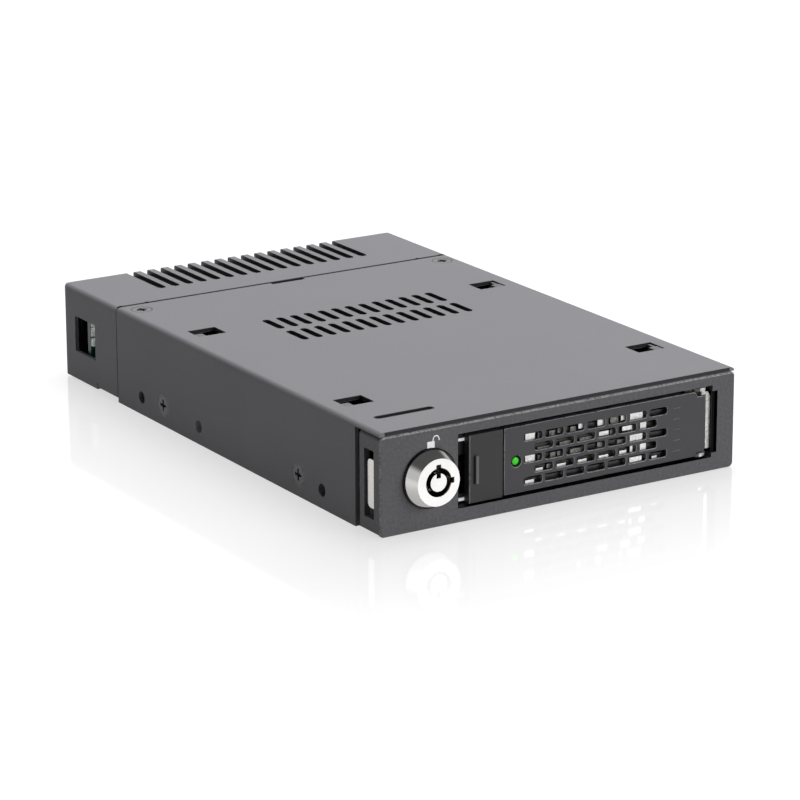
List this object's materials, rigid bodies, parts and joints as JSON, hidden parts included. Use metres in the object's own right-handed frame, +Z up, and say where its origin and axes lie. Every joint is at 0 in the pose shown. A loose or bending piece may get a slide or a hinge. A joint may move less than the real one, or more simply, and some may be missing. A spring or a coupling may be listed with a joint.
{
  "type": "hot swap drive cage",
  "caption": "Slim sheet-metal bay cage with a keyed removable tray for a small drive, a swinging grille lever, a slide button and a vented rear hood.",
  "frame": {"origin": "bottom face of the case, at mid width, at the front plane of the bezel", "axes": "+X to the right seen from the front, +Y from the bezel to the rear ports, +Z up"},
  "size_m": [0.1016, 0.1633, 0.0254],
  "materials": {
    "case_paint": "fine grey textured paint on steel sheet",
    "bezel_paint": "dark grey textured paint on a cast frame",
    "door_plastic": "dark grey textured moulding",
    "button_plastic": "darker grey moulding",
    "black_plastic": "black moulding",
    "chrome": "polished chrome plate",
    "bright_steel": "bright zinc-plated steel",
    "dark_steel": "black-oxide steel screws",
    "tray_metal": "plain zinc-plated sheet",
    "light": "clear green light pipe",
    "board_green": "green solder mask on board",
    "connector_black": "black connector plastic",
    "connector_white": "white connector plastic"
  },
  "bodies": {
    "cage": {"top_cover": "case_paint", "bottom_plate": "case_paint", "rear_hood": "case_paint", "front_bezel": "bezel_paint", "lock_housing": "chrome", "lock_clip": "bright_steel", "left_guide": "black_plastic", "right_guide": "black_plastic", "side_screws": "dark_steel", "hood_screws": "dark_steel", "guide_screws": "dark_steel", "board_screws": "bright_steel", "thread_inserts": "bright_steel", "drive_board": "board_green", "drive_connector": "connector_black", "link_board": "board_green", "board_headers": "connector_black", "rear_board": "board_green", "data_port": "connector_black", "power_port": "connector_white"},
    "lock": {"lock_core": "chrome", "lock_cam": "bright_steel", "lock_cam_screw": "bright_steel"},
    "tray": {"tray_frame": "tray_metal", "tray_front": "black_plastic", "light_pipe": "light", "tray_screws": "dark_steel", "pivot_pin": "bright_steel", "lever_spring": "dark_steel", "button_spring": "dark_steel"},
    "lever": {"lever_grille": "door_plastic", "lever_bracket": "bright_steel"},
    "button": {"release_button": "button_plastic"}
  },
  "joints": [
    {"name": "tray_slide", "type": "slide", "parent": "cage", "child": "tray", "axis": [0, -1, 0], "range_m": [0, 0.12]},
    {"name": "lever_swing", "type": "hinge", "parent": "tray", "child": "lever", "pos_m": [0.0413, 0.0032, 0.0125], "axis": [0, 0, 1], "range_deg": [0, 85]},
    {"name": "button_slide", "type": "slide", "parent": "tray", "child": "button", "axis": [-1, 0, 0], "range_m": [0, 0.0026], "stiffness_N_per_m": 300, "springref_m": -0.0005, "deforming": ["button_spring"]},
    {"name": "lock_turn", "type": "hinge", "parent": "cage", "child": "lock", "pos_m": [-0.0374, 0, 0.0125], "axis": [0, 1, 0], "range_deg": [0, 90]}
  ]
}
